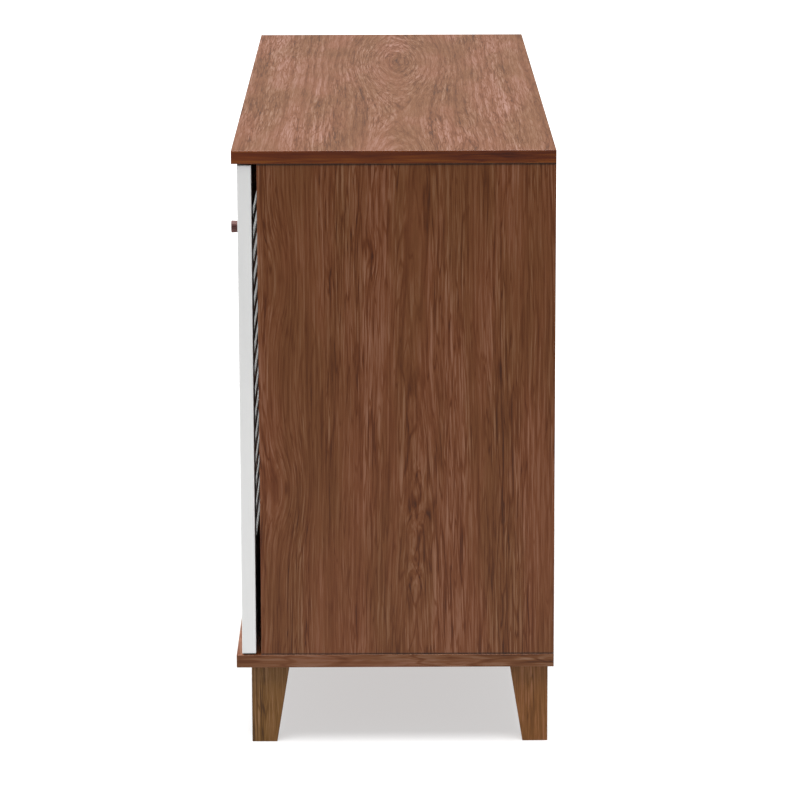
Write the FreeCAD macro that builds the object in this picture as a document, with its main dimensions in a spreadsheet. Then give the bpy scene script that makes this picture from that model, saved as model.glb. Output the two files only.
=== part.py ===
import FreeCAD, Part
import os
import re
import Sketcher
from FreeCAD import Placement, Rotation, Vector

# Long low shoe cabinet with three louvered doors on pivot pins.
# Frame: +Z up, +X to the right and +Y to the rear, seen from the front, which faces -Y.
# The origin is on the floor, under the middle of the whole cabinet, knobs included.

# Driving dimensions, in millimetres and degrees.
DIMS = {
    # Carcass of plain boards, carried on four legs.
    "width": 1200, "depth": 390, "board": 16, "side_height": 609, "panel_inset": 1,
    "edge_round": 0.8, "back_thick": 3, "back_inset": 10, "groove": 5, "groove_play": 0.5,
    # Doors: how they stand between the boards, and the play all round them.
    "door_setback": 7, "door_thick": 17, "door_space": 6.5,
    "end_margin": 1.5, "door_gap": 3, "door_play": 2,
    # Door frame.
    "stile": 60, "stile_round": 1, "top_rail": 59.5, "bottom_rail": 134,
    "tenon_length": 25, "tenon_thick": 6, "tenon_shoulder": 15,
    # Louver slats, high at the back and low at the front.
    "slat_count": 14, "slat_pitch": 28.5, "slat_drop": 18, "slat_inset": 0.5,
    "slat_thick": 6.5, "slat_angle": 48, "slat_housing": 4, "slat_round": 1.2,
    # Knob and the screw that holds it.
    "knob_drop": 134.5, "knob_length": 22, "knob_neck": 6.75, "knob_rim": 8, "knob_round": 1.2,
    "knob_bore": 15, "knob_thread": 14, "machine_screw": 2, "pan_head": 4, "pan_height": 2.6,
    # Pivot pins and their flanged bushes.
    "pin_inset": 10, "pin_radius": 3, "pin_play": 0.05, "pin_in_door": 10, "pin_in_board": 8.5,
    "bush_radius": 5, "bush_depth": 10, "flange_radius": 8, "flange_thick": 1.7,
    # Clear height of the tiers above the upper four shelves, the top tier first.
    "tier_one": 119.5, "tier_two": 126.5, "tier_three": 98, "tier_four": 100,
    "shelf_play": 1, "shelf_setback": 5, "peg_line": 40,
    "peg_radius": 2.5, "peg_seat": 7, "peg_reach": 9, "peg_collar": 4.5, "collar_thick": 0.8,
    # Cam locks, their bolts and the dowels that join the boards.
    "fixing_inset": 50, "dowel_step": 32, "cam_radius": 7.5, "cam_depth": 12.5, "cam_reach": 34,
    "cam_slot_length": 9, "cam_slot_width": 1.6, "cam_slot_depth": 3,
    "cam_bolt": 3, "cam_bolt_seat": 11, "cam_head": 3.5, "cam_head_length": 3,
    "cam_neck": 2, "cam_neck_length": 4, "bolt_passage": 4,
    "dowel_radius": 4, "dowel_seat": 11, "dowel_end": 19,
    # Tapered legs and what fastens them.
    "leg_height": 97.5, "leg_top": 47, "leg_foot": 31, "leg_round": 1.5,
    "leg_end_inset": 10, "leg_front_inset": 18, "leg_rear_inset": 7,
    "insert_radius": 5, "insert_length": 15, "leg_bolt": 3, "leg_bolt_reach": 13.5,
    "bolt_hole": 3.3, "bolt_flange": 8.5, "bolt_flange_thick": 1.6,
    "bolt_head": 5.5, "bolt_head_height": 3.4, "hex_radius": 2.9, "hex_depth": 2.4,
    "leg_dowel_offset": 14, "leg_dowel_up": 10, "leg_dowel_down": 15,
    # Magnetic catches and the strike plates that they hold.
    "catch_inset": 28.5, "catch_wide": 26, "catch_deep": 14, "catch_tall": 14, "catch_gap": 0.5,
    "ear_span": 40, "ear_deep": 10, "ear_thick": 3, "ear_screw": 16.5,
    "magnet_wide": 20, "magnet_deep": 11, "magnet_tall": 8,
    "strike_wide": 30, "strike_tall": 11, "strike_thick": 1.5, "strike_drop": 6,
    "wood_screw": 1.5, "wood_screw_grip": 10, "wood_head": 3, "wood_head_height": 1.8,
    "sunk_head": 2.8,
}

# Places and sizes that follow from the driving dimensions.
DERIVED = {
    "knob_overhang": "knob_length - door_setback",
    "front": "knob_overhang - (depth + knob_overhang) / 2",
    "rear": "front + depth",
    "door_front": "front + door_setback",
    "door_back": "door_front + door_thick",
    "door_middle": "door_front + door_thick / 2",
    "carcass_front": "door_back + door_space",
    "end_face": "width / 2 - panel_inset",
    "inner_face": "width / 2 - panel_inset - board",
    "floor_top": "leg_height + board",
    "ceiling": "floor_top + side_height",
    "door_low": "floor_top + door_play",
    "door_top": "ceiling - door_play",
    "door_width": "(width - 2 * end_margin - 2 * door_gap) / 3",
    "rail_length": "door_width - 2 * stile",
    "right_edge": "width / 2 - end_margin - door_width",
    "middle_edge": "right_edge - door_gap - door_width",
    "left_edge": "middle_edge - door_gap - door_width",
    "split": "right_edge - door_gap / 2",
    "back_front": "rear - back_inset - back_thick",
    "shelf_front": "carcass_front + shelf_setback",
    "shelf_rear": "back_front - shelf_play",
    "louver_foot": "door_top - top_rail - slat_drop - slat_pitch * (slat_count - 1)",
    "slat_rise": "(door_thick - 2 * slat_inset) * tan(slat_angle * 1deg)",
    "rail_slope": "door_thick * tan(slat_angle * 1deg)",
    "slat_edge": "slat_thick / cos(slat_angle * 1deg)",
    "knob_level": "door_top - knob_drop",
    "catch_front": "door_back + strike_thick + catch_gap",
    "ear_line": "catch_front + catch_deep / 2",
    "shelf_one": "ceiling - tier_one - board",
    "shelf_two": "shelf_one - tier_two - board",
    "shelf_three": "shelf_two - tier_three - board",
    "shelf_four": "shelf_three - tier_four - board",
}

# Across the width: the three upright panels, by their left faces.
PANELS = {"side_panel_left": "-end_face", "partition": "split - board / 2", "side_panel_right": "inner_face"}
# Front and rear lines of the fixings in the ends of the upright panels.
CAM_LINES = ["carcass_front + fixing_inset", "rear - fixing_inset"]
DOWEL_LINES = ["carcass_front + fixing_inset + dowel_step", "rear - fixing_inset - dowel_step"]
PEG_LINES = ["shelf_front + peg_line", "shelf_rear - peg_line"]
# Both bays, by the inner faces of the panels beside them.
BAYS = {"left": ("-inner_face", "split - board / 2"), "right": ("split + board / 2", "inner_face")}
SHELF_LEVELS = ["shelf_one", "shelf_two", "shelf_three", "shelf_four"]
# Each door: its left edge, and whether its pins are at its right edge.
DOORS = {"right": ("right_edge", True), "middle": ("middle_edge", True), "left": ("left_edge", False)}

AHEAD = Vector(0, -1, 0)
UP = Vector(0, 0, 1)
DOWN = Vector(0, 0, -1)
TO_RIGHT = Vector(1, 0, 0)
TO_LEFT = Vector(-1, 0, 0)

doc = FreeCAD.newDocument("shoe_cabinet")
nodes = []


def make_sheet():
    """Spreadsheet with one named cell for each driving dimension."""
    sheet = doc.addObject("Spreadsheet::Sheet", "dims")
    for row, (name, value) in enumerate(DIMS.items(), start=1):
        sheet.set("A" + str(row), name)
        sheet.set("B" + str(row), str(value))
        sheet.setAlias("B" + str(row), name)
    doc.recompute()


def cells(text):
    """Expression with derived names spelled out and every dimension read from its cell."""
    def word(match):
        name = match.group(0)
        if name in DERIVED:
            return "(" + cells(DERIVED[name]) + ")"
        return "dims." + name if name in DIMS else name
    return re.sub(r"[a-z_]+", word, text)


def bind(item, **sizes):
    """Ties properties of an object to the sheet."""
    for prop, text in sizes.items():
        item.setExpression(prop, cells(text))
    return item


def place(item, at, aim=UP):
    """Turns local +Z to the aim, and ties the place to the sheet."""
    item.Placement = Placement(Vector(), Rotation(UP, aim))
    for axis, text in zip("xyz", at):
        item.setExpression("Placement.Base." + axis, cells(text))
    return item


def keep(item, name):
    """Names a finished sub-part as a node."""
    item.Label = name
    nodes.append(item)
    return item


# Primitives and booleans

def block(at, size):
    """Rectangular block from its low corner."""
    item = doc.addObject("Part::Box", "block")
    bind(item, Length=size[0], Width=size[1], Height=size[2])
    return place(item, at)


def rod(at, radius, length, aim=UP):
    item = doc.addObject("Part::Cylinder", "rod")
    bind(item, Radius=radius, Height=length)
    return place(item, at, aim)


def taper(at, start, finish, length, aim=UP):
    item = doc.addObject("Part::Cone", "taper")
    bind(item, Radius1=start, Radius2=finish, Height=length)
    return place(item, at, aim)


def fuse(*shapes):
    item = doc.addObject("Part::MultiFuse", "fused")
    item.Shapes = list(shapes)
    return item


def cut(base, *tools):
    item = doc.addObject("Part::Cut", "cut")
    item.Base = base
    item.Tool = tools[0] if len(tools) == 1 else fuse(*tools)
    return item


def group(name, members):
    """Identical pieces that share one node, as separate solids."""
    item = doc.addObject("Part::Compound", name)
    item.Links = members
    return keep(item, name)


# Bodies, sketches and their features

def new_body(name, at=("0", "0", "0"), aim=UP):
    return keep(place(doc.addObject("PartDesign::Body", name), at, aim), name)


def add_sketch(body, plane, lift="0"):
    """Sketch on a plane of the body's own origin, lifted along the plane's normal."""
    sketch = body.newObject("Sketcher::SketchObject", body.Label + "_sketch")
    support = next(item for item in body.Origin.OriginFeatures if item.Role == plane)
    sketch.AttachmentSupport = [(support, "")]
    sketch.MapMode = "FlatFace"
    sketch.setExpression("AttachmentOffset.Base.z", cells(lift))
    return sketch


def pin_point(sketch, geometry, point, at):
    """Dimensions a point from the sketch's origin, with both values from the sheet."""
    for kind, text in zip(("DistanceX", "DistanceY"), at):
        index = sketch.addConstraint(Sketcher.Constraint(kind, -1, 1, geometry, point, 1.0))
        sketch.setExpression("Constraints[" + str(index) + "]", cells(text))


def outline(sketch, corners):
    """Closed outline of straight sides through the given corners."""
    first = sketch.GeometryCount
    count = len(corners)
    rough = [Rotation(UP, 360.0 * step / count).multVec(Vector(10, 0, 0)) for step in range(count)]
    for step in range(count):
        sketch.addGeometry(Part.LineSegment(rough[step], rough[(step + 1) % count]))
    for step in range(count):
        follower = first + (step + 1) % count
        sketch.addConstraint(Sketcher.Constraint("Coincident", first + step, 2, follower, 1))
    for step, corner in enumerate(corners):
        pin_point(sketch, first + step, 1, corner)
    return sketch


def rectangle(sketch, low, high):
    return outline(sketch, [low, (high[0], low[1]), high, (low[0], high[1])])


def circles(sketch, centres, radius):
    for centre in centres:
        index = sketch.addGeometry(Part.Circle(Vector(1, 1, 0), UP, 1.0))
        pin_point(sketch, index, 3, centre)
        size = sketch.addConstraint(Sketcher.Constraint("Radius", index, 1.0))
        sketch.setExpression("Constraints[" + str(size) + "]", cells(radius))
    return sketch


def pad(body, sketch, length):
    feature = body.newObject("PartDesign::Pad", body.Label + "_pad")
    feature.Profile = sketch
    return bind(feature, Length=length)


def pocket(body, sketch, length, along_normal):
    """Cuts from the sketch, along its plane's normal or against it, and tests that it cut."""
    doc.recompute()
    before = body.Shape.Volume
    feature = body.newObject("PartDesign::Pocket", body.Label + "_pocket")
    feature.Profile = sketch
    feature.Reversed = along_normal
    bind(feature, Length=length)
    doc.recompute()
    if not body.Shape.Volume < before:
        raise RuntimeError(feature.Label + " cuts nothing")
    return feature


def revolve(body, profile):
    """Turned piece: the profile is given as radius and height, about the body's own Z."""
    feature = body.newObject("PartDesign::Revolution", body.Label + "_turned")
    sketch = outline(add_sketch(body, "XZ_Plane"), profile)
    feature.Profile = sketch
    feature.ReferenceAxis = (sketch, ["V_Axis"])
    feature.Angle = 360
    return feature


def round_edges(body, radius, chosen):
    """Rounds the edges that the test picks, by an edge's box and the whole shape's box."""
    doc.recompute()
    base = body.Tip
    whole = base.Shape.BoundBox
    names = []
    for number, edge in enumerate(base.Shape.Edges, start=1):
        if chosen(edge.BoundBox, whole):
            names.append("Edge" + str(number))
    rounding = body.newObject("PartDesign::Fillet", body.Label + "_round")
    rounding.Base = (base, names)
    bind(rounding, Radius=radius)


def is_upright(box, whole):
    return box.ZLength > 0.9 * whole.ZLength


def runs_across(box, whole):
    return box.XLength > 0.9 * whole.XLength


def repeat_upward(body, sketch, feature=None):
    """Repeats one feature, or else the whole body, at the louver pitch."""
    pattern = body.newObject("PartDesign::LinearPattern", body.Label + "_pattern")
    if feature:
        pattern.Originals = [feature]
    else:
        pattern.TransformMode = "Whole shape"
    pattern.Direction = (sketch, ["V_Axis"])
    bind(pattern, Length="slat_pitch * (slat_count - 1)", Occurrences="slat_count")
    body.Tip = pattern


# Carcass

def flat_board(name, level, low, high):
    """Horizontal board, padded up from its underside."""
    body = new_body(name, ("0", "0", level))
    pad(body, rectangle(add_sketch(body, "XY_Plane"), low, high), "board")
    round_edges(body, "edge_round", lambda box, whole: True)
    return body


def leg_axes():
    """Each leg: its name, its outer corner and the directions from there to its inner corner."""
    for side, sign in (("left", "-"), ("right", "")):
        for end, corner in (("front", "front + leg_front_inset"), ("rear", "rear - leg_rear_inset")):
            outer = sign + "(width / 2 - leg_end_inset)"
            inward_x = "+" if side == "left" else "-"
            inward_y = "+" if end == "front" else "-"
            yield "leg_" + end + "_" + side, (outer, corner), (inward_x, inward_y)


def leg_centre(corner, inward):
    return [corner[axis] + inward[axis] + "leg_top / 2" for axis in (0, 1)]


def leg_dowel_centre(corner, inward):
    centre = leg_centre(corner, inward)
    return [centre[0] + inward[0] + "leg_dowel_offset", centre[1]]


def pin_axes():
    """Place of each door's pivot axis, in plan."""
    for edge, pins_right in DOORS.values():
        across = edge + " + door_width - pin_inset" if pins_right else edge + " + pin_inset"
        yield across, "door_middle"


def catch_centres():
    """Middle of each catch across the width, by its door."""
    for name, (edge, pins_right) in DOORS.items():
        yield name, edge + " + catch_inset" if pins_right else edge + " + door_width - catch_inset"


def join_bores(body, lift, along_normal):
    """Holes in a board's face for the cam bolts, dowels and pivot bushes."""
    middles = [left + " + board / 2" for left in PANELS.values()]
    bores = (
        ([(across, line) for across in middles for line in CAM_LINES], "cam_bolt", "cam_bolt_seat"),
        ([(across, line) for across in middles for line in DOWEL_LINES], "dowel_radius", "dowel_seat"),
        (pin_axes(), "bush_radius", "bush_depth"),
    )
    for centres, radius, deep in bores:
        pocket(body, circles(add_sketch(body, "XY_Plane", lift), centres, radius), deep, along_normal)
    slot = rectangle(
        add_sketch(body, "XY_Plane", lift),
        ("-inner_face - groove", "back_front"),
        ("inner_face + groove", "back_front + back_thick"),
    )
    pocket(body, slot, "groove", along_normal)


def make_top_board():
    body = flat_board("top_board", "ceiling", ("-width / 2", "front"), ("width / 2", "rear"))
    join_bores(body, "0", True)
    screws = [(across + sign + "ear_screw", "ear_line") for _, across in catch_centres() for sign in "+-"]
    pocket(body, circles(add_sketch(body, "XY_Plane"), screws, "wood_screw"), "wood_screw_grip", True)


def make_base_board():
    body = flat_board("base_board", "leg_height", ("-width / 2", "front"), ("width / 2", "rear"))
    join_bores(body, "board", False)
    bolts = [leg_centre(corner, inward) for _, corner, inward in leg_axes()]
    pocket(body, circles(add_sketch(body, "XY_Plane", "board"), bolts, "bolt_hole"), "board", False)
    dowels = [leg_dowel_centre(corner, inward) for _, corner, inward in leg_axes()]
    pocket(body, circles(add_sketch(body, "XY_Plane"), dowels, "dowel_radius"), "leg_dowel_up", True)


def upright_panel(name, rear_edge):
    """Upright panel with cam bolt and dowel holes in both ends."""
    body = new_body(name, (PANELS[name], "0", "0"))
    face = rectangle(add_sketch(body, "YZ_Plane"), ("carcass_front", "floor_top"), (rear_edge, "ceiling"))
    pad(body, face, "board")
    round_edges(body, "edge_round", is_upright)
    for lift, along_normal in (("floor_top", True), ("ceiling", False)):
        passages = [("board / 2", line) for line in CAM_LINES]
        sketch = circles(add_sketch(body, "XY_Plane", lift), passages, "bolt_passage")
        pocket(body, sketch, "cam_reach", along_normal)
        seats = [("board / 2", line) for line in DOWEL_LINES]
        sketch = circles(add_sketch(body, "XY_Plane", lift), seats, "dowel_radius")
        pocket(body, sketch, "dowel_end", along_normal)
    return body


def face_bores(body, on_right, centres, radius, deep):
    """Blind holes in one face of an upright panel."""
    sketch = circles(add_sketch(body, "YZ_Plane", "board" if on_right else "0"), centres, radius)
    pocket(body, sketch, deep, not on_right)


def make_panels():
    cams = [(line, level) for line in CAM_LINES for level in ("floor_top + cam_reach", "ceiling - cam_reach")]
    pegs = [(line, level + " - peg_radius") for line in PEG_LINES for level in SHELF_LEVELS]
    for name, inner_right in (("side_panel_left", True), ("side_panel_right", False)):
        body = upright_panel(name, "rear")
        face_bores(body, inner_right, cams, "cam_radius", "cam_depth")
        face_bores(body, inner_right, pegs, "peg_radius", "peg_seat")
        slot = rectangle(
            add_sketch(body, "YZ_Plane", "board" if inner_right else "0"),
            ("back_front", "floor_top"),
            ("back_front + back_thick", "ceiling"),
        )
        pocket(body, slot, "groove", not inner_right)
    body = upright_panel("partition", "back_front")
    face_bores(body, True, cams, "cam_radius", "cam_depth")
    for on_right in (True, False):
        face_bores(body, on_right, pegs, "peg_radius", "peg_seat")


def make_back_panel():
    reach = "groove - groove_play"
    low = ("-inner_face - (" + reach + ")", "back_front", "floor_top - (" + reach + ")")
    size = ("2 * (inner_face + " + reach + ")", "back_thick", "side_height + 2 * (" + reach + ")")
    keep(block(low, size), "back_panel")


def make_shelves():
    for bay, (left, right) in BAYS.items():
        low = (left + " + shelf_play", "shelf_front")
        high = (right + " - shelf_play", "shelf_rear")
        for number, level in enumerate(SHELF_LEVELS, start=1):
            flat_board("shelf_" + bay + "_" + str(number), level, low, high)


def shelf_peg(face, line, level, aim):
    """Collared peg: its seat is in the panel, and the shelf lies on what stands out."""
    sign = "-" if aim == TO_RIGHT else "+"
    stem = rod((face + sign + "peg_seat", line, level), "peg_radius", "peg_seat + peg_reach", aim)
    return fuse(stem, rod((face, line, level), "peg_collar", "collar_thick", aim))


def make_shelf_pegs():
    pegs = []
    for left, right in BAYS.values():
        for line in PEG_LINES:
            for level in SHELF_LEVELS:
                pegs.append(shelf_peg(left, line, level + " - peg_radius", TO_RIGHT))
                pegs.append(shelf_peg(right, line, level + " - peg_radius", TO_LEFT))
    group("shelf_pegs", pegs)


# Fixings of the carcass

def cam_lock(face, aim, line, level, to_end):
    """Cam in a panel's face: crossed driver slots outside, and a passage for the bolt's head."""
    into = "+" if aim == TO_RIGHT else "-"
    across = face + into + "board / 2"
    barrel = rod((face, line, level), "cam_radius", "cam_depth", aim)
    start = level + " - cam_head" if to_end == UP else level + " + cam_head"
    passage = rod((across, line, start), "bolt_passage", "cam_radius + cam_head", to_end)
    slot_x = face if aim == TO_RIGHT else face + " - cam_slot_depth"
    slots = []
    for wide, tall in (("cam_slot_length", "cam_slot_width"), ("cam_slot_width", "cam_slot_length")):
        corner = (slot_x, line + " - " + wide + " / 2", level + " - " + tall + " / 2")
        slots.append(block(corner, ("cam_slot_depth", wide, tall)))
    return cut(barrel, passage, *slots)


def cam_bolt(across, line, level, to_end):
    """Headed bolt from the cam's middle through the panel's end into the board."""
    sign = " + " if to_end == UP else " - "
    neck = level + sign + "cam_head_length"
    shank = neck + sign + "cam_neck_length"
    return fuse(
        rod((across, line, level), "cam_head", "cam_head_length", to_end),
        rod((across, line, neck), "cam_neck", "cam_neck_length", to_end),
        rod(
            (across, line, shank),
            "cam_bolt",
            "cam_reach + cam_bolt_seat - cam_head_length - cam_neck_length",
            to_end,
        ),
    )


def make_carcass_fixings():
    cam_faces = {
        "side_panel_left": ("-inner_face", TO_LEFT),
        "partition": ("split + board / 2", TO_LEFT),
        "side_panel_right": ("inner_face", TO_RIGHT),
    }
    ends = (
        (UP, "ceiling - cam_reach", "ceiling - dowel_end"),
        (DOWN, "floor_top + cam_reach", "floor_top + dowel_end"),
    )
    cams = []
    bolts = []
    dowels = []
    for name, left in PANELS.items():
        face, aim = cam_faces[name]
        across = left + " + board / 2"
        for to_end, cam_level, dowel_level in ends:
            for line in CAM_LINES:
                cams.append(cam_lock(face, aim, line, cam_level, to_end))
                bolts.append(cam_bolt(across, line, cam_level, to_end))
            for line in DOWEL_LINES:
                place_at = (across, line, dowel_level)
                dowels.append(rod(place_at, "dowel_radius", "dowel_end + dowel_seat", to_end))
    group("cam_locks", cams)
    group("cam_bolts", bolts)
    group("panel_dowels", dowels)


# Legs

def reach(sign, size):
    """Low and high ends of a width that runs from zero to one side."""
    return ("-" + size, "0") if sign == "-" else ("0", size)


def make_legs():
    """Legs whose two outer faces are upright and whose two inner faces taper to the foot."""
    for name, corner, inward in leg_axes():
        body = new_body(name, (corner[0], corner[1], "0"))
        # The wedge grows along its own Y, which is turned upright, so its Z runs forward.
        wedge = body.newObject("PartDesign::AdditiveWedge", name + "_wedge")
        wedge.Placement = Placement(Vector(), Rotation(TO_RIGHT, 90))
        forward = "-" if inward[1] == "+" else "+"
        for suffix, size in (("", "leg_foot"), ("2", "leg_top")):
            for axis, sign in (("X", inward[0]), ("Z", forward)):
                low, high = reach(sign, size)
                bind(wedge, **{axis + suffix + "min": low, axis + suffix + "max": high})
        bind(wedge, Ymin="0", Ymax="leg_height")
        round_edges(body, "leg_round", is_upright)
        bores = (
            (leg_centre(("0", "0"), inward), "insert_radius", "insert_length"),
            (leg_dowel_centre(("0", "0"), inward), "dowel_radius", "leg_dowel_down"),
        )
        for centre, radius, deep in bores:
            sketch = circles(add_sketch(body, "XY_Plane", "leg_height"), [centre], radius)
            pocket(body, sketch, deep, False)


def leg_bolt(across, line):
    """Socket-head bolt with a flange, down through the base board into the leg's insert."""
    flange = rod((across, line, "floor_top"), "bolt_flange", "bolt_flange_thick")
    head_foot = "floor_top + bolt_flange_thick"
    head = rod((across, line, head_foot), "bolt_head", "bolt_head_height")
    shank = rod((across, line, "floor_top"), "leg_bolt", "board + leg_bolt_reach", DOWN)
    socket = doc.addObject("Part::Prism", "socket")
    socket.Polygon = 6
    bind(socket, Circumradius="hex_radius", Height="hex_depth")
    place(socket, (across, line, head_foot + " + bolt_head_height - hex_depth"))
    return cut(fuse(flange, head, shank), socket)


def make_leg_fixings():
    inserts = []
    bolts = []
    dowels = []
    for _, corner, inward in leg_axes():
        across, line = leg_centre(corner, inward)
        sleeve = rod((across, line, "leg_height"), "insert_radius", "insert_length", DOWN)
        inserts.append(cut(sleeve, rod((across, line, "leg_height"), "leg_bolt", "insert_length", DOWN)))
        bolts.append(leg_bolt(across, line))
        across, line = leg_dowel_centre(corner, inward)
        start = (across, line, "leg_height - leg_dowel_down")
        dowels.append(rod(start, "dowel_radius", "leg_dowel_down + leg_dowel_up"))
    group("leg_inserts", inserts)
    group("leg_bolts", bolts)
    group("leg_dowels", dowels)


# Fittings between the carcass and the doors

def make_bushes():
    """Flanged bushes in the boards, above and below each door."""
    bushes = []
    for across, line in pin_axes():
        for face, into, out in (("ceiling", UP, DOWN), ("floor_top", DOWN, UP)):
            sleeve = rod((across, line, face), "bush_radius", "bush_depth", into)
            flange = rod((across, line, face), "flange_radius", "flange_thick", out)
            start = face + (" - " if into == UP else " + ") + "flange_thick"
            bore = rod((across, line, start), "pin_radius + pin_play", "flange_thick + bush_depth", into)
            bushes.append(cut(fuse(sleeve, flange), bore))
    group("pivot_bushes", bushes)


def catch_screw(across):
    """Pan-head screw up through an ear of the catch into the top board."""
    ear = "ceiling - ear_thick"
    head = rod((across, "ear_line", ear + " - wood_head_height"), "wood_head", "wood_head_height")
    return fuse(head, rod((across, "ear_line", ear), "wood_screw", "ear_thick + wood_screw_grip"))


def make_catches():
    """Magnetic catches under the top board, each with two screws."""
    housings = []
    magnets = []
    screws = []
    for _, across in catch_centres():
        low = (across + " - catch_wide / 2", "catch_front", "ceiling - catch_tall")
        housing = block(low, ("catch_wide", "catch_deep", "catch_tall"))
        low = (across + " - ear_span / 2", "ear_line - ear_deep / 2", "ceiling - ear_thick")
        ears = block(low, ("ear_span", "ear_deep", "ear_thick"))
        low = (across + " - magnet_wide / 2", "catch_front", "ceiling - (catch_tall + magnet_tall) / 2")
        magnet_size = ("magnet_wide", "magnet_deep", "magnet_tall")
        tools = [block(low, magnet_size)]
        magnets.append(block(low, magnet_size))
        for sign in "+-":
            line = across + sign + "ear_screw"
            hole = rod((line, "ear_line", "ceiling - ear_thick"), "wood_screw", "ear_thick")
            tools.append(hole)
            screws.append(catch_screw(line))
        housings.append(cut(fuse(housing, ears), *tools))
    group("catch_housings", housings)
    group("catch_magnets", magnets)
    group("catch_screws", screws)


# Doors

def slat_section(sketch):
    """Section of the lowest slat, with upright front and back edges."""
    front = "door_front + slat_inset"
    back = "door_back - slat_inset"
    return outline(sketch, [
        (back, "louver_foot"),
        (back, "louver_foot - slat_edge"),
        (front, "louver_foot - slat_edge - slat_rise"),
        (front, "louver_foot - slat_rise"),
    ])


def rail_levels():
    """Each rail, by the lower and upper edges of its back face."""
    yield "rail_top", "door_top - top_rail", "door_top"
    yield "rail_bottom", "door_low", "door_low + bottom_rail"


def tenon_section(sketch, low, high):
    return rectangle(
        sketch,
        ("door_middle - tenon_thick / 2", low + " + tenon_shoulder"),
        ("door_middle + tenon_thick / 2", high + " - tenon_shoulder"),
    )


def make_stile(name, left, on_right):
    """Stile with mortises for the rails and a sloping housing for each slat.

    Its outer upright edges are rounded, because they pass close to the carcass as the door swings.
    """
    def is_outer(box, whole):
        limit = whole.XMax if on_right else whole.XMin
        return is_upright(box, whole) and abs(box.Center.x - limit) < 0.01

    body = new_body(name, (left, "0", "0"))
    face = rectangle(add_sketch(body, "YZ_Plane"), ("door_front", "door_low"), ("door_back", "door_top"))
    pad(body, face, "stile")
    round_edges(body, "stile_round", is_outer)
    inner = "0" if on_right else "stile"
    for _, low, high in rail_levels():
        pocket(body, tenon_section(add_sketch(body, "YZ_Plane", inner), low, high), "tenon_length", on_right)
    sketch = slat_section(add_sketch(body, "YZ_Plane", inner))
    repeat_upward(body, sketch, pocket(body, sketch, "slat_housing", on_right))
    return body


def bore_for_pins(body, across):
    for lift, along_normal in (("door_low", True), ("door_top", False)):
        bore = circles(add_sketch(body, "XY_Plane", lift), [(across, "door_middle")], "pin_radius")
        pocket(body, bore, "pin_in_door", along_normal)


def bore_for_knob(body, catch_across):
    """Screw holes of the knob, right through, and of the strike plate, from behind."""
    knob = circles(add_sketch(body, "XZ_Plane", "-door_back"), [("stile / 2", "knob_level")], "machine_screw")
    pocket(body, knob, "door_thick", True)
    centre = [(catch_across, "door_top - strike_drop")]
    strike = circles(add_sketch(body, "XZ_Plane", "-door_back"), centre, "wood_screw")
    pocket(body, strike, "wood_screw_grip", True)


def make_rails(prefix, left):
    """Rails whose edges beside the louvers slope with the slats."""
    for name, low, high in rail_levels():
        body = new_body(prefix + name, (left, "0", "0"))
        sloping = low if name == "rail_top" else high
        corners = [("door_back", low), ("door_back", high), ("door_front", high), ("door_front", low)]
        section = outline(add_sketch(body, "YZ_Plane"), [
            (y, z + " - rail_slope" if (y, z) == ("door_front", sloping) else z) for y, z in corners
        ])
        pad(body, section, "rail_length")
        tenon = tenon_section(add_sketch(body, "YZ_Plane", "-tenon_length"), low, high)
        pad(body, tenon, "rail_length + 2 * tenon_length")


def make_louvers(name, left):
    body = new_body(name, (left + " - slat_housing", "0", "0"))
    body.AllowCompound = True
    sketch = slat_section(add_sketch(body, "YZ_Plane"))
    pad(body, sketch, "rail_length + 2 * slat_housing")
    round_edges(body, "slat_round", runs_across)
    repeat_upward(body, sketch)


def make_knob(prefix, across):
    """Turned knob, widening to its rim, and the machine screw that holds it from behind."""
    body = new_body(prefix + "knob", (across, "door_front", "knob_level"), AHEAD)
    revolve(body, [
        ("machine_screw", "0"),
        ("knob_neck", "0"),
        ("knob_rim", "knob_length"),
        ("0", "knob_length"),
        ("0", "knob_bore"),
        ("machine_screw", "knob_bore"),
    ])
    round_edges(body, "knob_round", lambda box, whole: box.ZMin > whole.ZMax - 0.01)
    body = new_body(prefix + "knob_screw", (across, "door_back", "knob_level"), AHEAD)
    revolve(body, [
        ("0", "-pan_height"),
        ("pan_head", "-pan_height"),
        ("pan_head", "0"),
        ("machine_screw", "0"),
        ("machine_screw", "door_thick + knob_thread"),
        ("0", "door_thick + knob_thread"),
    ])


def make_pins(name, across):
    """Steel pins in the ends of the pivot stile, reaching into the bushes."""
    length = "pin_in_door + door_play + pin_in_board"
    lower = rod((across, "door_middle", "door_low + pin_in_door"), "pin_radius", length, DOWN)
    upper = rod((across, "door_middle", "door_top - pin_in_door"), "pin_radius", length)
    group(name, [lower, upper])


def make_strike(prefix, across):
    """Countersunk plate that the magnet holds, and its screw."""
    level = "door_top - strike_drop"
    low = (across + " - strike_wide / 2", "door_back", level + " - strike_tall / 2")
    plate = block(low, ("strike_wide", "strike_thick", "strike_tall"))
    outer = (across, "door_back + strike_thick", level)
    hole = taper(outer, "sunk_head", "wood_screw", "strike_thick", AHEAD)
    keep(cut(plate, hole), prefix + "strike_plate")
    head = taper(outer, "sunk_head", "wood_screw", "strike_thick", AHEAD)
    shank = rod((across, "door_back", level), "wood_screw", "wood_screw_grip", AHEAD)
    keep(fuse(head, shank), prefix + "strike_screw")


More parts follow.
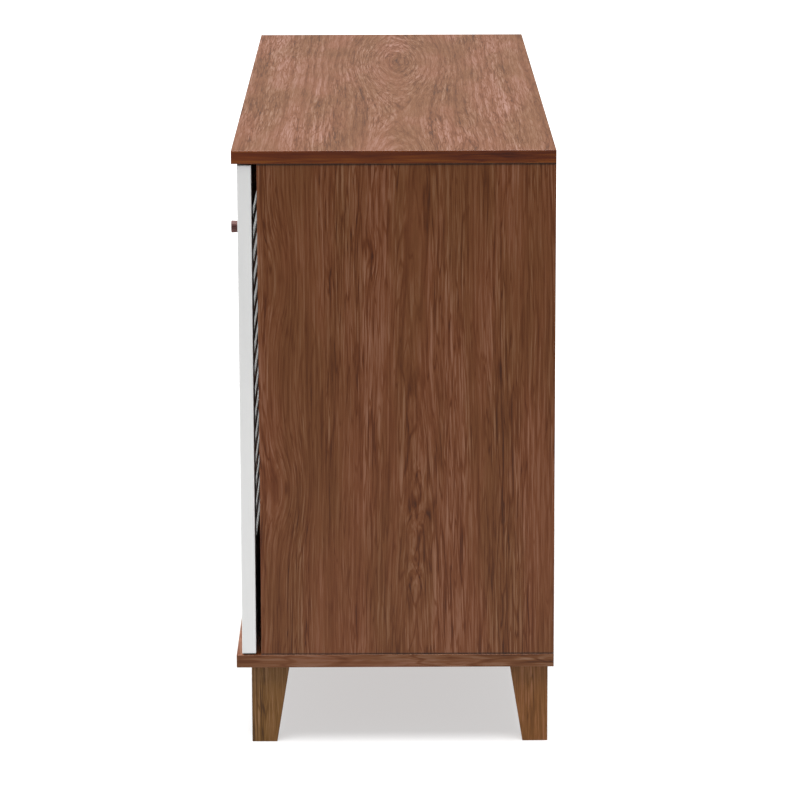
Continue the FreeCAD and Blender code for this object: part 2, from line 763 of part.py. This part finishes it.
def make_door(side, edge, pins_right):
    prefix = side + "_"
    stile_places = {False: edge, True: edge + " + door_width - stile"}
    pivot_stile = make_stile(prefix + "pivot_stile", stile_places[pins_right], pins_right)
    bore_for_pins(pivot_stile, "stile - pin_inset" if pins_right else "pin_inset")
    knob_left = stile_places[not pins_right]
    knob_stile = make_stile(prefix + "knob_stile", knob_left, not pins_right)
    bore_for_knob(knob_stile, "catch_inset" if pins_right else "stile - catch_inset")
    make_rails(prefix, edge + " + stile")
    make_louvers(prefix + "louvers", edge + " + stile")
    make_knob(prefix, knob_left + " + stile / 2")
    make_pins(prefix + "pivot_pins", dict(zip(DOORS, pin_axes()))[side][0])
    make_strike(prefix, dict(catch_centres())[side])


def check_document():
    """Stops if an object failed, or a node's shape is empty or invalid."""
    for item in doc.Objects:
        if "Invalid" in item.State or "Error" in item.State:
            raise RuntimeError(item.Label + " failed: " + str(item.State))
    for node in nodes:
        if node.Shape.isNull() or not node.Shape.isValid() or not node.Shape.Solids:
            raise RuntimeError(node.Label + " has no valid solid")


def export_nodes():
    os.makedirs("parts", exist_ok=True)
    for node in nodes:
        node.Shape.exportStep("parts/" + node.Label + ".step")


make_sheet()
make_top_board()
make_base_board()
make_panels()
make_back_panel()
make_shelves()
make_shelf_pegs()
make_carcass_fixings()
make_legs()
make_leg_fixings()
make_bushes()
make_catches()
for door, (left_edge, pins_at_right) in DOORS.items():
    make_door(door, left_edge, pins_at_right)
doc.recompute()
check_document()
export_nodes()
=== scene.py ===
import math

import bpy
from mathutils import Matrix, Vector


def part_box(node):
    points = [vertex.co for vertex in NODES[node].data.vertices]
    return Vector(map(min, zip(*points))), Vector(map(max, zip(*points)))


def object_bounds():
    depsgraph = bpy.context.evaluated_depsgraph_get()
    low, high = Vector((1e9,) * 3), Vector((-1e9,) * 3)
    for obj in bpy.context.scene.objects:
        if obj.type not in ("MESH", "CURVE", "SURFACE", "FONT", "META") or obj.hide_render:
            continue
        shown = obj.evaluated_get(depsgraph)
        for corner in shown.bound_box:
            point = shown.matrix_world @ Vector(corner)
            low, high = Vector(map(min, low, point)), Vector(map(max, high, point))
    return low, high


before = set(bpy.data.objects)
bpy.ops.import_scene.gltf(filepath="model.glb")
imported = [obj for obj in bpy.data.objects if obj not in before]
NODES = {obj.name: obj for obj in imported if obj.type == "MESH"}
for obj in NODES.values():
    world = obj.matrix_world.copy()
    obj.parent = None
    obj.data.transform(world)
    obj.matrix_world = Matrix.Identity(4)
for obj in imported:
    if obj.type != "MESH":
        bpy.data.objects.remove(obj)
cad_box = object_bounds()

# Camera, fitted to the photo's edges. Angles are in radians.
CAMERA_PLACE = Vector((5.20357, -0.00282, 1.41045))
CAMERA_YAW = 0.0037122
CAMERA_PITCH = 0.2091354
CAMERA_ROLL = -0.0028104
CAMERA_LENS = 174.711
CAMERA_SENSOR = 36.0
CAMERA_CLIP = 100.0

# Studio. Radiances are relative to the white of the finished picture.
ROOM_LIGHT = 0.335
ROOM_SEEN = 1.05
FLOOR_GLOW = 0.54
FLOOR_ALBEDO = 0.172
FLOOR_ALBEDO_SEEN = 0.40
# Each far light: its strength, its spread in degrees and the direction it comes from.
FAR_LIGHTS = {
    "overhead": (2.3, 58.0, Vector((0.0, -0.04, 1.0))),
    "front": (0.16, 4.0, Vector((0.08, -1.0, 0.035))),
}
# The floor is brightest within the pool round the cabinet and falls to its darkest at the fade's end.
FLOOR_REACH = 30.0
FLOOR_POOL = 0.3
FLOOR_FADE = 3.0
FLOOR_DARKEST = 0.4

DOORS = ("left", "middle", "right")
TIERS = 4


class Graph:
    """Adds shader nodes to one tree and links them as it goes."""

    def __init__(self, tree):
        self.tree = tree

    def node(self, kind, **settings):
        made = self.tree.nodes.new("ShaderNode" + kind)
        for name, value in settings.items():
            setattr(made, name, value)
        return made

    def feed(self, socket, value):
        if isinstance(value, bpy.types.NodeSocket):
            self.tree.links.new(value, socket)
        else:
            socket.default_value = value

    def math(self, operation, *values, clamp=False):
        made = self.node("Math", operation=operation, use_clamp=clamp)
        for socket, value in zip(made.inputs, values):
            self.feed(socket, value)
        return made.outputs[0]

    def vector(self, x, y, z):
        made = self.node("CombineXYZ")
        for socket, value in zip(made.inputs, (x, y, z)):
            self.feed(socket, value)
        return made.outputs[0]

    def split(self, vector):
        made = self.node("SeparateXYZ")
        self.feed(made.inputs[0], vector)
        return list(made.outputs)

    def along_axes(self, vector, axes):
        """Parts of a vector, in the order of the letters of axes."""
        parts = dict(zip("xyz", self.split(vector)))
        return [parts[axis] for axis in axes]

    def noise(self, vector, detail=2.0, rough=0.5, skew=0.0):
        """Noise of period about 1 in the units of the vector, from 0 to 1."""
        made = self.node("TexNoise", noise_dimensions="3D")
        self.feed(made.inputs["Vector"], vector)
        self.feed(made.inputs["Scale"], 1.0)
        self.feed(made.inputs["Detail"], detail)
        self.feed(made.inputs["Roughness"], rough)
        self.feed(made.inputs["Distortion"], skew)
        return made.outputs[0]

    def stretched_noise(self, parts, sizes, shifts=(0.0, 0.0, 0.0), **settings):
        """Noise whose features have a size of their own along each part, in metres."""
        places = [
            self.math("MULTIPLY_ADD", part, 1 / size, shift)
            for part, size, shift in zip(parts, sizes, shifts)
        ]
        return self.noise(self.vector(*places), **settings)

    def remap(self, value, low, high, to_low=0.0, to_high=1.0, smooth=False):
        made = self.node("MapRange", interpolation_type="SMOOTHSTEP" if smooth else "LINEAR")
        for socket, number in zip(made.inputs, (value, low, high, to_low, to_high)):
            self.feed(socket, number)
        return made.outputs[0]

    def mix(self, factor, first, second, blend="MIX"):
        """Mix of two colours."""
        made = self.node("Mix", data_type="RGBA", blend_type=blend)
        for socket, value in ((0, factor), (6, first), (7, second)):
            self.feed(made.inputs[socket], value)
        return made.outputs[2]

    def mix_vectors(self, factor, first, second):
        made = self.node("Mix", data_type="VECTOR")
        for socket, value in ((0, factor), (4, first), (5, second)):
            self.feed(made.inputs[socket], value)
        return made.outputs[1]

    def ramp(self, value, stops):
        made = self.node("ValToRGB")
        elements = made.color_ramp.elements
        while len(elements) < len(stops):
            elements.new(0.5)
        for element, (place, colour) in zip(elements, stops):
            element.position = place
            element.color = (*colour, 1.0)
        self.feed(made.inputs[0], value)
        return made.outputs[0]

    def bump(self, height, strength, distance):
        made = self.node("Bump")
        for name, value in (("Strength", strength), ("Distance", distance), ("Height", height)):
            self.feed(made.inputs[name], value)
        return made.outputs[0]


def solid(*rgb):
    return (*rgb, 1.0)


def new_material(name):
    """Material whose tree holds only an output and a Principled shader, with its graph and that shader."""
    material = bpy.data.materials.new(name)
    material.use_nodes = True
    material.node_tree.nodes.clear()
    graph = Graph(material.node_tree)
    output = graph.node("OutputMaterial")
    shader = graph.node("BsdfPrincipled")
    graph.feed(output.inputs["Surface"], shader.outputs[0])
    return material, graph, shader


def finish_shader(graph, shader, colour, roughness, normal=None, **constants):
    """Feed the shader's main sockets. Each constant is set on the socket of its name."""
    graph.feed(shader.inputs["Base Color"], colour)
    graph.feed(shader.inputs["Roughness"], roughness)
    if normal is not None:
        graph.feed(shader.inputs["Normal"], normal)
    for name, value in constants.items():
        shader.inputs[name.replace("_", " ")].default_value = value


# ---------------------------------------------------------------------------------------------------
# Wood


# How far the growth lines are bent out of straight, in metres, by noise of three sizes. The broad noise
# also moves them in depth.
BROAD_BEND = 0.024
SMALL_BEND = 0.0035
TINY_BEND = 0.0012
BROAD_RISE = 0.012
# How much the rings' spacing wavers, in rings.
RING_WAVER = 0.9
# Part of each ring, from 0 to 1, over which the late wood darkens, and over which it ends.
LATE_DARKENS = (0.25, 0.9)
LATE_ENDS = (1.0, 0.93)
# Shares of the slow change from ring to ring and of the late wood in the figure.
SLOW_SHARE = 0.8
LATE_SHARE = 0.3
HAIRLINE_DARKNESS = 0.24
MEAN_LIGHT = 0.55
# Each layer of the wood: the value that leaves the wood as it is, and how much it lightens the wood.
RINGS = (0.5, -0.6)
PATCHES = (0.5, 0.5)
STREAKS = (0.5, 0.75)
FIBRES = (0.44, 1.5)
PORES = (0.0, -0.2)


def make_sawn_group():
    """Sawn wood: growth rings round a buried pith, streaks, fibres, pores and broad patches."""
    tree = bpy.data.node_groups.new("sawn_wood", "ShaderNodeTree")
    for name in (
        "Across", "Along", "Depth", "Pith", "Pith depth", "Slope", "Spacing", "Push", "Wander",
        "Figure", "Fine", "Seed",
    ):
        tree.interface.new_socket(name, in_out="INPUT", socket_type="NodeSocketFloat")
    for name in ("Light", "Fibres", "Pores", "Patches"):
        tree.interface.new_socket(name, in_out="OUTPUT", socket_type="NodeSocketFloat")
    g = Graph(tree)
    given = tree.nodes.new("NodeGroupInput").outputs
    across, along, depth, seed = given["Across"], given["Along"], given["Depth"], given["Seed"]

    def field(wide, tall, shift, **settings):
        """Noise whose features are wide across the grain and tall along it."""
        parts = (across, along, depth)
        return g.stretched_noise(parts, (wide, tall, wide), (seed, shift, shift), **settings)

    broad = g.math("SUBTRACT", field(0.09, 0.45, 3.1, detail=1.0), 0.5)
    small = g.math("SUBTRACT", field(0.03, 0.16, 11.7, detail=2.0), 0.5)
    tiny = g.math("SUBTRACT", field(0.008, 0.035, 5.3, detail=2.0), 0.5)
    bend = g.math("MULTIPLY_ADD", broad, BROAD_BEND, g.math("MULTIPLY", small, SMALL_BEND))
    bend = g.math("MULTIPLY_ADD", tiny, TINY_BEND, bend)
    bend = g.math("MULTIPLY", bend, given["Wander"])
    bent = g.math("ADD", g.math("SUBTRACT", across, given["Pith"]), bend)
    rise = g.math("MULTIPLY_ADD", along, given["Slope"], given["Pith depth"])
    rise = g.math("MULTIPLY_ADD", g.math("MULTIPLY", broad, given["Wander"]), BROAD_RISE, rise)
    rise = g.math("ADD", rise, depth)

    # rings: the distance from the pith, counted in ring spacings
    reach = g.math("SQRT", g.math("MULTIPLY_ADD", bent, bent, g.math("MULTIPLY", rise, rise)))
    reach = g.math("ADD", reach, given["Push"])
    turn = g.math("DIVIDE", reach, given["Spacing"])
    waver = g.math("SUBTRACT", field(0.02, 0.16, 7.9), 0.5)
    turn = g.math("MULTIPLY_ADD", waver, RING_WAVER, turn)
    within = g.math("FRACT", turn)
    whole = g.math("FLOOR", turn)
    darkens = g.remap(within, *LATE_DARKENS, smooth=True)
    late = g.math("MULTIPLY", darkens, g.remap(within, *LATE_ENDS, smooth=True))
    vigour = g.noise(g.vector(g.math("MULTIPLY", whole, 0.77), seed, 0.0), detail=1.0)
    late = g.math("MULTIPLY", late, g.remap(vigour, 0.3, 0.7, 0.25, 1.0))
    slow = g.noise(g.vector(g.math("MULTIPLY", turn, 0.45), seed, 4.0), detail=2.0)
    rings = g.math("MULTIPLY_ADD", slow, SLOW_SHARE, g.math("MULTIPLY", late, LATE_SHARE))

    # streaks and fibres follow the bent lines of the rings
    aside = g.math("MULTIPLY_ADD", across, 0.4, depth)

    def thread(wide, tall, shift, **settings):
        """Noise like that of field, drawn out along the growth lines."""
        parts = (reach, along, aside)
        return g.stretched_noise(parts, (wide, tall, wide), (seed, shift, shift), **settings)

    def hairline(wide, tall, shift, width):
        """Thin line wherever a slow thread crosses its middle value."""
        off = g.math("ABSOLUTE", g.math("SUBTRACT", thread(wide, tall, shift, detail=1.0), 0.5))
        return g.remap(off, 0.0, width, 1.0, 0.0, smooth=True)

    streaks = thread(0.0038, 0.18, 21.3, detail=3.0, rough=0.6)
    fibres = thread(0.0017, 0.06, 31.9, detail=3.0, rough=0.6)
    dashes = thread(0.0008, 0.025, 41.7, detail=1.0)
    hairs = g.math("MAXIMUM", hairline(0.0085, 0.22, 61.3, 0.04), hairline(0.005, 0.11, 67.1, 0.045))
    fibres = g.math("MULTIPLY_ADD", hairs, -HAIRLINE_DARKNESS, fibres)
    open_pores = g.remap(dashes, 0.56, 0.72, smooth=True)
    pores = g.math("MULTIPLY", open_pores, g.remap(within, 0.0, 0.6, 0.5, 1.0))
    patches = field(0.05, 0.3, 51.1, detail=3.0, rough=0.55)

    # some stretches of the board are calm and others full of lines
    busy = g.remap(field(0.04, 0.5, 73.3, detail=1.0), 0.36, 0.64, 0.5, 1.15, smooth=True)
    fine = g.math("MULTIPLY", given["Fine"], busy)
    light = MEAN_LIGHT
    for layer, (neutral, share), strength in (
        (rings, RINGS, given["Figure"]), (patches, PATCHES, given["Figure"]),
        (streaks, STREAKS, fine), (fibres, FIBRES, fine), (pores, PORES, fine),
    ):
        weight = g.math("MULTIPLY", strength, share)
        change = g.math("MULTIPLY", g.math("SUBTRACT", layer, neutral), weight)
        light = g.math("ADD", light, change)
    taken = tree.nodes.new("NodeGroupOutput").inputs
    for name, value in (("Light", light), ("Fibres", fibres), ("Pores", pores), ("Patches", patches)):
        g.feed(taken[name], value)
    return tree


SAWN = make_sawn_group()

# Linear base colours from the darkest line to the palest streak.
WALNUT_TONES = (
    (0.0, (0.050, 0.010, 0.000)), (0.3, (0.102, 0.024, 0.0015)),
    (0.6, (0.158, 0.051, 0.0155)), (1.0, (0.262, 0.127, 0.078)),
)
LEG_TONES = (
    (0.0, (0.058, 0.019, 0.000)), (0.35, (0.112, 0.045, 0.004)),
    (0.65, (0.160, 0.070, 0.016)), (1.0, (0.25, 0.130, 0.07)),
)
KNOB_TONES = (
    (0.0, (0.040, 0.011, 0.011)), (0.35, (0.08, 0.026, 0.026)),
    (0.7, (0.125, 0.047, 0.046)), (1.0, (0.19, 0.085, 0.082)),
)
BEECH_TONES = ((0.0, (0.36, 0.22, 0.12)), (0.4, (0.50, 0.33, 0.19)), (1.0, (0.66, 0.47, 0.30)))
# Tints of the broad patches.
OLIVE = (0.965, 1.005, 0.86)
REDDISH = (1.035, 0.965, 0.92)
# How far from the pith a band on a short edge is cut, so that its lines run nearly straight.
BAND_FROM_PITH = 0.11
# A face counts as a short edge where its normal is at least this much along the grain.
EDGE_NORMAL = 0.7
# How fast a knot's push on the growth lines and its stain fall off from its middle.
PUSH_FALL = 1.0
STAIN_FALL = 45.0
# The dark line of a seam, a glue line together with painted shade for the shadow gap where the boards meet:
# how far it keeps its full strength, where it ends, that strength and its colour.
SEAM_CORE = 0.0008
SEAM_REACH = 0.003
SEAM_STRENGTH = 0.75
SEAM_GLUE_AND_SHADE_COLOUR = (0.012, 0.006, 0.004)


def wood(
    name, axes, seed, pith, rise=(0.03, 0.0), spacing=0.006, wander=1.0, knots=(), ends=None, seams=None,
    tint=(1.0, 1.0, 1.0), tones=WALNUT_TONES, figure=1.0, fine=1.0, roughness=0.42, gloss=0.34, relief=0.12,
):
    """Wood whose grain runs along one axis. axes names the directions across, along and through the board.

    ends gives the middle of the board's thickness and a tint, where its short edges carry a band of
    their own.
    seams are the two places along the grain where the board meets another one, in a fine dark line: a glue
    line together with painted shade for the shadow gap along the joint.
    knots lists eyes in the figure: (across, along, half width, half length, push, darkness).
    """
    material, g, shader = new_material(name)
    place = g.node("TexCoord")
    across, along, depth = g.along_axes(place.outputs["Object"], axes)
    tone = solid(*tint)
    if ends is not None:
        board_middle, end_tint = ends
        facing = g.along_axes(place.outputs["Normal"], axes)[1]
        at_end = g.math("GREATER_THAN", g.math("ABSOLUTE", facing), EDGE_NORMAL)
        band = g.vector(g.math("ADD", depth, pith + BAND_FROM_PITH - board_middle), across, along)
        across, along, depth = g.split(g.mix_vectors(at_end, g.vector(across, along, depth), band))
        tone = g.mix(at_end, solid(*tint), solid(*end_tint))
    push, stain = 0.0, 0.0
    for at_across, at_along, half_width, half_length, height, darkness in knots:
        x = g.math("DIVIDE", g.math("SUBTRACT", across, at_across), half_width)
        y = g.math("DIVIDE", g.math("SUBTRACT", along, at_along), half_length)
        spread = g.math("MULTIPLY_ADD", x, x, g.math("MULTIPLY", y, y))
        bulge = g.math("EXPONENT", g.math("MULTIPLY", spread, -PUSH_FALL))
        push = g.math("MULTIPLY_ADD", bulge, height, push)
        spot = g.math("EXPONENT", g.math("MULTIPLY", spread, -STAIN_FALL))
        stain = g.math("MULTIPLY_ADD", spot, darkness, stain)
    grain = g.node("Group", node_tree=SAWN)
    given = (
        ("Across", across), ("Along", along), ("Depth", depth), ("Pith", pith), ("Pith depth", rise[0]),
        ("Slope", rise[1]), ("Spacing", spacing), ("Push", push), ("Wander", wander),
        ("Figure", figure), ("Fine", fine), ("Seed", seed),
    )
    for socket, value in given:
        g.feed(grain.inputs[socket], value)
    made = grain.outputs
    light = g.math("SUBTRACT", made["Light"], stain, clamp=True)
    colour = g.ramp(light, tones)
    hue = g.mix(g.remap(made["Patches"], 0.36, 0.64, smooth=True), solid(*OLIVE), solid(*REDDISH))
    colour = g.mix(1.0, colour, hue, blend="MULTIPLY")
    colour = g.mix(1.0, colour, tone, blend="MULTIPLY")
    # Painted shade: a fine dark line at each seam stands in for the shadow gap where the boards meet,
    # together with a glue line.
    if seams is not None:
        near = [g.math("ABSOLUTE", g.math("SUBTRACT", along, seam)) for seam in seams]
        nearest = g.math("MINIMUM", *near)
        glue_line_and_shade = g.remap(nearest, SEAM_CORE, SEAM_REACH, SEAM_STRENGTH, 0.0, smooth=True)
        colour = g.mix(glue_line_and_shade, colour, solid(*SEAM_GLUE_AND_SHADE_COLOUR))
    height = g.math("MULTIPLY_ADD", made["Pores"], -0.8, made["Fibres"])
    rough = g.math("MULTIPLY_ADD", made["Fibres"], 0.1, roughness - 0.05)
    finish_shader(g, shader, colour, rough, g.bump(height, relief, 0.0004), Specular_IOR_Level=gloss)
    return material


# ---------------------------------------------------------------------------------------------------
# Paint, metals and plastics


PAINT_SHADED = (0.825, 0.828, 0.822)
PAINT_CLEAN = (0.865, 0.866, 0.858)
PAINT_SANDED = (0.74, 0.74, 0.73)


def paint(name, axes, seed):
    """Sprayed satin white: faint orange peel, and a trace of the sanded grain along the member."""
    material, g, shader = new_material(name)
    parts = g.along_axes(g.node("TexCoord").outputs["Object"], axes)

    def field(wide, tall, shift, detail=2.0):
        shifts = (seed + shift, shift, shift)
        return g.stretched_noise(parts, (wide, tall, wide), shifts, detail=detail)

    peel = field(0.0022, 0.0026, 1.3)
    sanded = field(0.0016, 0.06, 7.7, 3.0)
    cloud = field(0.06, 0.16, 17.9, 3.0)
    colour = g.mix(g.remap(cloud, 0.3, 0.7), solid(*PAINT_SHADED), solid(*PAINT_CLEAN))
    colour = g.mix(g.remap(sanded, 0.55, 0.8, 0.0, 0.25), colour, solid(*PAINT_SANDED))
    height = g.math("MULTIPLY_ADD", sanded, 0.5, peel)
    rough = g.remap(cloud, 0.3, 0.7, 0.33, 0.42)
    finish_shader(g, shader, colour, rough, g.bump(height, 0.1, 0.00025), Specular_IOR_Level=0.45)
    return material


# A scratch is this many times longer than it is wide.
SCRATCH_STRETCH = 18.0


def metal(name, dark, pale, rough, grain, scratch=0.0005, relief=0.15):
    """Plated or cast metal: cloudy plating, fine grain in the reflection and light scratches."""
    material, g, shader = new_material(name)
    parts = g.split(g.node("TexCoord").outputs["Object"])

    cloud = g.stretched_noise(parts, (grain, grain, grain), detail=3.0)
    lines = g.stretched_noise(parts, (scratch, scratch, SCRATCH_STRETCH * scratch), detail=3.0)
    colour = g.mix(g.remap(cloud, 0.35, 0.65), solid(*dark), solid(*pale))
    gloss = g.math("MULTIPLY_ADD", cloud, 0.16, rough - 0.08)
    gloss = g.math("MULTIPLY_ADD", g.remap(lines, 0.5, 0.75), 0.12, gloss)
    finish_shader(g, shader, colour, gloss, g.bump(lines, relief, 0.0001), Metallic=1.0)
    return material


def moulded(name, dark, pale, rough, period=0.0009, relief=0.12, **constants):
    """Moulded or pressed body colour: fine spark-eroded texture with slow shade changes."""
    material, g, shader = new_material(name)
    parts = g.split(g.node("TexCoord").outputs["Object"])

    texture = g.stretched_noise(parts, (period, period, period), detail=3.0)
    cloud = g.stretched_noise(parts, (0.012, 0.012, 0.012), detail=3.0)
    colour = g.mix(g.remap(cloud, 0.3, 0.7), solid(*dark), solid(*pale))
    gloss = g.math("MULTIPLY_ADD", texture, 0.12, rough - 0.06)
    finish_shader(g, shader, colour, gloss, g.bump(texture, relief, 0.00015), **constants)
    return material


# ---------------------------------------------------------------------------------------------------
# One finish for each CAD node


def dress(node, material):
    slots = NODES[node].data.materials
    slots.clear()
    slots.append(material)


def middle(node, axis):
    low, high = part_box(node)
    return (low[axis] + high[axis]) / 2


ENDS_OF_SIDES = tuple(corner.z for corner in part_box("side_panel_right"))
# Tints of the bands on the short edges of the boards.
DARK_BAND = (0.92, 0.56, 0.06)
PLAIN_BAND = (1.05, 1.12, 1.2)

dress("top_board", wood(
    "walnut_top", "yxz", seed=12.7, pith=0.014, rise=(-0.7025, 0.0), spacing=0.011, wander=0.6,
    figure=1.15, fine=0.75, tint=(0.86, 0.98, 1.25), ends=(middle("top_board", 2), DARK_BAND),
    knots=((0.016, -0.27, 0.060, 0.30, -0.055, 0.10), (0.012, 0.70, 0.035, 0.22, -0.035, 0.0)),
))
dress("base_board", wood(
    "walnut_base", "yxz", seed=31.4, pith=-0.06, rise=(-0.08, 0.01),
    ends=(middle("base_board", 2), PLAIN_BAND),
))
dress("side_panel_right", wood(
    "walnut_side_right", "yzx", seed=5.9, pith=0.034, rise=(-0.58, 0.03), spacing=0.0058, wander=0.8,
    fine=0.85, tint=(1.075, 1.055, 1.0), seams=ENDS_OF_SIDES,
    knots=(
        (-0.130, 0.583, 0.022, 0.07, 0.014, 0.2), (-0.124, 0.322, 0.026, 0.06, 0.018, 0.2),
        (-0.018, 0.610, 0.010, 0.03, 0.005, 0.3), (0.033, 0.308, 0.012, 0.04, 0.006, 0.3),
        (0.033, 0.234, 0.010, 0.02, 0.004, 0.35),
    ),
))
dress("side_panel_left", wood(
    "walnut_side_left", "yzx", seed=44.2, pith=-0.02, rise=(0.61, 0.03), wander=0.9, seams=ENDS_OF_SIDES,
))
dress("partition", wood(
    "walnut_partition", "yzx", seed=71.3, pith=0.05, rise=(-0.17, 0.03), seams=ENDS_OF_SIDES,
))
for bay_number, bay in enumerate(("left", "right")):
    for tier in range(1, TIERS + 1):
        shelf = f"shelf_{bay}_{tier}"
        number = bay_number * TIERS + tier
        level = middle(shelf, 2)
        dress(shelf, wood(
            "walnut_" + shelf, "yxz", seed=100.0 + 13.1 * number, pith=0.03 * (number % 3) - 0.03,
            rise=(0.02 - level, 0.02), ends=(level, PLAIN_BAND),
        ))
dress("back_panel", wood(
    "back_print", "xzy", seed=88.8, pith=0.1, rise=(-0.16, 0.02), roughness=0.6, gloss=0.25,
    tint=(1.08, 1.02, 1.0),
))

for number, leg in enumerate(("leg_front_left", "leg_front_right", "leg_rear_left", "leg_rear_right")):
    dress(leg, wood(
        leg + "_stain", "xzy", seed=200.0 + 17.3 * number, pith=middle(leg, 0) + 0.09,
        rise=(0.05 - middle(leg, 1), 0.05), spacing=0.0045, wander=0.5, tones=LEG_TONES, fine=1.1,
        roughness=0.45, relief=0.2, tint=(1.38, 1.18, 1.22) if "rear" in leg else (1.07, 1.11, 0.89),
    ))

for number, door in enumerate(DOORS):
    knob = door + "_knob"
    dress(knob, wood(
        knob + "_stain", "xyz", seed=300.0 + 9.7 * number, pith=middle(knob, 0) + 0.02,
        rise=(0.012 - middle(knob, 2), 0.0), spacing=0.003, wander=0.25, tones=KNOB_TONES,
        roughness=0.5, gloss=0.3, relief=0.2,
    ))
    for member in ("pivot_stile", "knob_stile", "rail_top", "rail_bottom", "louvers"):
        axes = "yzx" if "stile" in member else "zxy"
        dress(f"{door}_{member}", paint(f"white_{door}_{member}", axes, 3.7 * number + len(member)))

ZINC = metal("zinc_plate", (0.50, 0.51, 0.53), (0.66, 0.67, 0.68), 0.34, 0.004)
for node in ("shelf_pegs", "leg_bolts", "cam_bolts", "catch_screws"):
    dress(node, ZINC)
for door in DOORS:
    for node in ("knob_screw", "pivot_pins", "strike_plate", "strike_screw"):
        dress(f"{door}_{node}", ZINC)
dress("cam_locks", metal("cam_zinc_cast", (0.40, 0.41, 0.43), (0.56, 0.57, 0.59), 0.48, 0.0015, relief=0.3))
dress("leg_inserts", metal("insert_brass_turned", (0.55, 0.37, 0.13), (0.74, 0.54, 0.24), 0.3, 0.003))
for node in ("leg_dowels", "panel_dowels"):
    dress(node, wood(
        "beech_" + node, "xzy", seed=411.0, pith=0.3, spacing=0.0016, wander=0.2, tones=BEECH_TONES,
        roughness=0.6,
    ))
dress("pivot_bushes", moulded("nylon_black", (0.022, 0.022, 0.023), (0.034, 0.034, 0.036), 0.45))
dress("catch_housings", moulded("catch_brown", (0.055, 0.03, 0.02), (0.085, 0.047, 0.032), 0.45))
dress("catch_magnets", moulded(
    "ferrite_sintered", (0.028, 0.028, 0.03), (0.05, 0.05, 0.054), 0.7, period=0.0005, relief=0.3,
))


# ---------------------------------------------------------------------------------------------------
# Floor, light and camera


def make_floor():
    """Wide pale floor with a glow of its own, so that shadows on it stay as light as in a studio."""
    mesh = bpy.data.meshes.new("floor")
    corners = [(x * FLOOR_REACH, y * FLOOR_REACH, 0.0) for x, y in ((-1, -1), (1, -1), (1, 1), (-1, 1))]
    mesh.from_pydata(corners, [], [(0, 1, 2, 3)])
    floor = bpy.data.objects.new("floor", mesh)
    bpy.context.scene.collection.objects.link(floor)
    material, g, shader = new_material("floor_white")
    x, y, _ = g.split(g.node("TexCoord").outputs["Object"])
    past = [
        g.math("MAXIMUM", g.math("SUBTRACT", g.math("ABSOLUTE", part), half), 0.0)
        for part, half in ((x, cad_box[1].x), (y, cad_box[1].y))
    ]
    away = g.math("SQRT", g.math("MULTIPLY_ADD", past[0], past[0], g.math("MULTIPLY", past[1], past[1])))
    pool = g.remap(away, FLOOR_POOL, FLOOR_FADE, 1.0, FLOOR_DARKEST, smooth=True)
    seen = g.node("LightPath").outputs["Is Camera Ray"]
    glow = g.math("MULTIPLY", g.math("MAXIMUM", pool, seen), FLOOR_GLOW)
    g.feed(shader.inputs["Emission Strength"], glow)
    shader.inputs["Emission Color"].default_value = solid(1.0, 1.0, 1.0)
    albedo_seen = g.math("MULTIPLY", seen, FLOOR_ALBEDO_SEEN)
    albedo = g.math("MAXIMUM", g.math("MULTIPLY", pool, FLOOR_ALBEDO), albedo_seen)
    finish_shader(g, shader, g.vector(albedo, albedo, albedo), 0.9, Specular_IOR_Level=0.0)
    mesh.materials.append(material)


def make_room():
    """White surroundings for the camera, and a dimmer even light for everything else."""
    world = bpy.data.worlds.new("studio")
    world.use_nodes = True
    bpy.context.scene.world = world
    world.node_tree.nodes.clear()
    g = Graph(world.node_tree)
    output = g.node("OutputWorld")
    light = g.node("Background")
    seen = g.node("LightPath").outputs["Is Camera Ray"]
    light.inputs["Color"].default_value = solid(1.0, 1.0, 1.0)
    g.feed(light.inputs["Strength"], g.remap(seen, 0.0, 1.0, ROOM_LIGHT, ROOM_SEEN))
    g.feed(output.inputs["Surface"], light.outputs[0])


def make_far_light(name, strength, spread, source):
    """Light from far off, even over the whole floor. A wider spread gives softer shadows."""
    data = bpy.data.lights.new(name, "SUN")
    data.energy = strength * math.pi
    data.angle = math.radians(spread)
    light = bpy.data.objects.new(name, data)
    light.rotation_mode = "QUATERNION"
    light.rotation_quaternion = (-source).to_track_quat("-Z", "Y")
    bpy.context.scene.collection.objects.link(light)


def make_camera():
    """Camera at its fitted place, turned by its yaw, pitch and roll."""
    data = bpy.data.cameras.new("camera")
    data.lens = CAMERA_LENS
    data.sensor_width = CAMERA_SENSOR
    data.clip_end = CAMERA_CLIP
    camera = bpy.data.objects.new("camera", data)
    bpy.context.scene.collection.objects.link(camera)
    bpy.context.scene.camera = camera
    level = math.cos(CAMERA_PITCH)
    ahead = Vector((-level * math.cos(CAMERA_YAW), level * math.sin(CAMERA_YAW), -math.sin(CAMERA_PITCH)))
    right = ahead.cross(Vector((0.0, 0.0, 1.0))).normalized()
    up = right.cross(ahead)
    x_axis = right * math.cos(CAMERA_ROLL) + up * math.sin(CAMERA_ROLL)
    y_axis = up * math.cos(CAMERA_ROLL) - right * math.sin(CAMERA_ROLL)
    turn = Matrix((x_axis, y_axis, -ahead)).transposed().to_4x4()
    camera.matrix_world = Matrix.Translation(CAMERA_PLACE) @ turn


make_floor()
make_room()
for light_name, settings in FAR_LIGHTS.items():
    make_far_light(light_name, *settings)
make_camera()
bpy.context.scene.view_settings.view_transform = "Standard"
